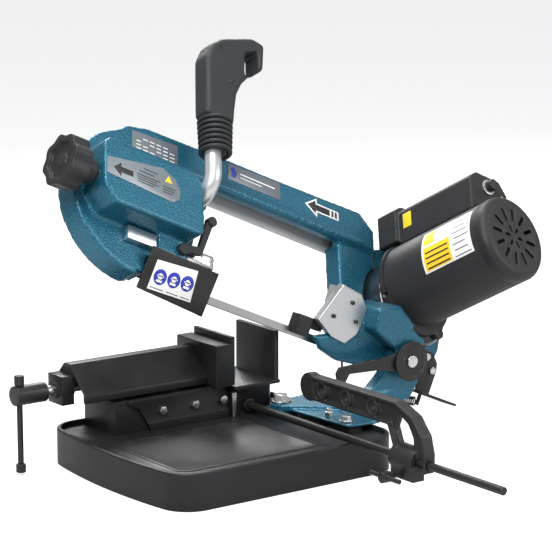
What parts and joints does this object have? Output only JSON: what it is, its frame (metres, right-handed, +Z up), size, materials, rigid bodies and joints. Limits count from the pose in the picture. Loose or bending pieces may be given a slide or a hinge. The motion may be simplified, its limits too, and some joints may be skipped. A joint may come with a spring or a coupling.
{
  "type": "band saw",
  "caption": "Bench metal cutting band saw with a tilted pivoting bow, geared motor, screw vise with swivel base, adjustable blade guide and length stop.",
  "frame": {"origin": "centre of the four bench bolt holes on the tray's underside, at the bench top", "axes": "+Z up, +X along the vise screw and the lowered blade towards the bow's hinge and motor, -Y towards the operator"},
  "size_m": [0.8168, 0.7302, 0.6226],
  "materials": {
    "tray_black": "gloss black paint",
    "vise_black": "gloss black paint",
    "bare_steel": "turned steel",
    "dark_steel": "blackened steel",
    "saw_blue": "teal blue hammered paint",
    "swivel_blue": "teal blue hammered paint",
    "cover_grey": "light grey paint",
    "motor_black": "black powder coat",
    "plastic_black": "matte",
    "gloss_black": "gloss",
    "grip_grey": "matte dark grey",
    "guide_silver": "cast and machined",
    "band_steel": "bright",
    "wheel_iron": "machined rim",
    "spring_steel": "blackened",
    "brass_nut": "machined"
  },
  "bodies": {
    "base": {"base_tray": "tray_black", "vise_bed": "vise_black", "vise_rail": "vise_black", "fixed_jaw": "vise_black", "vise_bolts": "bare_steel", "vise_nut": "brass_nut", "pivot_bolt": "bare_steel", "rod_nut": "dark_steel"},
    "jaw": {"jaw_slide": "vise_black", "moving_jaw": "vise_black", "thrust_block": "vise_black"},
    "screw": {"vise_screw": "bare_steel", "screw_hub": "dark_steel"},
    "bar": {"tommy_bar": "dark_steel", "bar_knobs": "dark_steel"},
    "rod": {"stop_rod": "dark_steel"},
    "stop": {"stop_bracket": "motor_black"},
    "stop_screw": {"stop_clamp_screw": "dark_steel"},
    "swivel": {"swivel_base": "swivel_blue", "angle_stop": "bare_steel", "hinge_shaft": "bare_steel", "hinge_cap": "dark_steel"},
    "swivel_lock": {"swivel_lock_bolt": "bare_steel"},
    "bow": {"bow_frame": "saw_blue", "rear_cover": "cover_grey", "cover_screws": "bare_steel", "stop_arm": "dark_steel", "tail_bracket": "dark_steel", "tail_bolts": "bare_steel", "counter_spring": "spring_steel", "gear_housing": "gloss_black", "gear_housing_bolts": "bare_steel", "motor_housing": "plastic_black", "motor_end_bell": "plastic_black", "motor_stator": "bare_steel", "switch_box": "plastic_black", "handle_tube": "guide_silver", "grip_front_shell": "grip_grey", "grip_rear_shell": "grip_grey", "grip_screws": "bare_steel", "right_guide_bracket": "guide_silver", "right_guide_block": "dark_steel", "saw_blade": "band_steel"},
    "drive": {"drive_wheel": "wheel_iron", "output_shaft": "bare_steel", "output_gear": "bare_steel"},
    "idler": {"idler_wheel": "wheel_iron"},
    "tension_carriage": {"idler_axle": "bare_steel", "tension_slide": "bare_steel"},
    "tension": {"tension_screw": "bare_steel", "tension_knob": "plastic_black"},
    "rotor": {"motor_rotor": "bare_steel"},
    "layshaft": {"intermediate_gear": "bare_steel"},
    "guide": {"guide_arm": "bare_steel", "guide_head": "bare_steel", "blade_guard": "dark_steel"},
    "guide_lock": {"guide_lock_lever": "plastic_black"},
    "trigger": {"trigger": "plastic_black"},
    "dial": {"speed_dial": "plastic_black"}
  },
  "joints": [
    {"name": "jaw_travel", "type": "slide", "parent": "base", "child": "jaw", "axis": [1, 0, 0], "range_m": [-0.0451, 0.0501]},
    {"name": "screw_turn", "type": "hinge", "parent": "jaw", "child": "screw", "pos_m": [-0.2, 0.135, 0.12], "axis": [1, 0, 0], "range_deg": [-4050, 4500]},
    {"name": "bar_slip", "type": "slide", "parent": "screw", "child": "bar", "axis": [0, 0, 1], "range_m": [0, 0.088]},
    {"name": "rod_turn", "type": "hinge", "parent": "base", "child": "rod", "pos_m": [0.107, 0, 0.062], "axis": [0, 1, 0], "range_deg": [-60, 0]},
    {"name": "stop_travel", "type": "slide", "parent": "rod", "child": "stop", "axis": [0, 1, 0], "range_m": [-0.15, 0.095]},
    {"name": "stop_clamp_turn", "type": "hinge", "parent": "stop", "child": "stop_screw", "pos_m": [0.107, -0.311, 0.042], "axis": [1, 0, 0], "range_deg": [-180, 180]},
    {"name": "swivel_turn", "type": "hinge", "parent": "base", "child": "swivel", "pos_m": [0.15, 0.05, 0.06], "axis": [0, 0, 1], "range_deg": [0, 45]},
    {"name": "swivel_lock_turn", "type": "hinge", "parent": "swivel", "child": "swivel_lock", "pos_m": [0.17, -0.09, 0.06], "axis": [0, 0, 1], "range_deg": [0, 90]},
    {"name": "bow_lift", "type": "hinge", "parent": "swivel", "child": "bow", "pos_m": [0.362, 0, 0.1125], "axis": [0, 1, 0], "range_deg": [-23.4, 8], "deforming": ["counter_spring"]},
    {"name": "motor_spin", "type": "hinge", "parent": "bow", "child": "rotor", "pos_m": [0.44761, -0.01419, 0.25605], "axis": [0.205, -0.8572, 0.4725], "continuous": true},
    {"name": "layshaft_spin", "type": "hinge", "parent": "bow", "child": "layshaft", "pos_m": [0.4416, 0.09788, 0.20802], "axis": [0.205, -0.8572, 0.4725], "continuous": true},
    {"name": "drive_spin", "type": "hinge", "parent": "bow", "child": "drive", "pos_m": [0.40834, 0.1015, 0.16552], "axis": [0.205, -0.8572, 0.4725], "continuous": true},
    {"name": "tension_travel", "type": "slide", "parent": "bow", "child": "tension_carriage", "axis": [0.9174, 0, -0.3979], "range_m": [0, 0.006]},
    {"name": "tension_turn", "type": "hinge", "parent": "bow", "child": "tension", "pos_m": [-0.19585, 0.05625, 0.45979], "axis": [0.9174, 0, -0.3979], "range_deg": [0, 1440]},
    {"name": "idler_spin", "type": "hinge", "parent": "tension_carriage", "child": "idler", "pos_m": [-0.09898, 0.1015, 0.38559], "axis": [0.205, -0.8572, 0.4725], "continuous": true},
    {"name": "guide_travel", "type": "slide", "parent": "bow", "child": "guide", "axis": [0.9174, 0, -0.3979], "range_m": [0, 0.08]},
    {"name": "guide_lock_turn", "type": "hinge", "parent": "bow", "child": "guide_lock", "pos_m": [-0.04671, 0.02568, 0.33119], "axis": [0.205, -0.8572, 0.4725], "range_deg": [-20, 0]},
    {"name": "trigger_press", "type": "slide", "parent": "bow", "child": "trigger", "axis": [-0.9174, 0, 0.3979], "range_m": [0, 0.006], "stiffness_N_per_m": 800},
    {"name": "dial_turn", "type": "hinge", "parent": "bow", "child": "dial", "pos_m": [0.50002, -0.03675, 0.38289], "axis": [0.205, -0.8572, 0.4725], "range_deg": [0, 270]}
  ],
  "couplings": [
    {"joint": "jaw_travel", "follows": "screw_turn", "m_per_rad": 0.00063662},
    {"joint": "tension_travel", "follows": "tension_turn", "m_per_rad": 0.00023873},
    {"joint": "layshaft_spin", "follows": "motor_spin", "ratio": -0.27273},
    {"joint": "drive_spin", "follows": "motor_spin", "ratio": 0.054545},
    {"joint": "idler_spin", "follows": "motor_spin", "ratio": 0.054545}
  ]
}
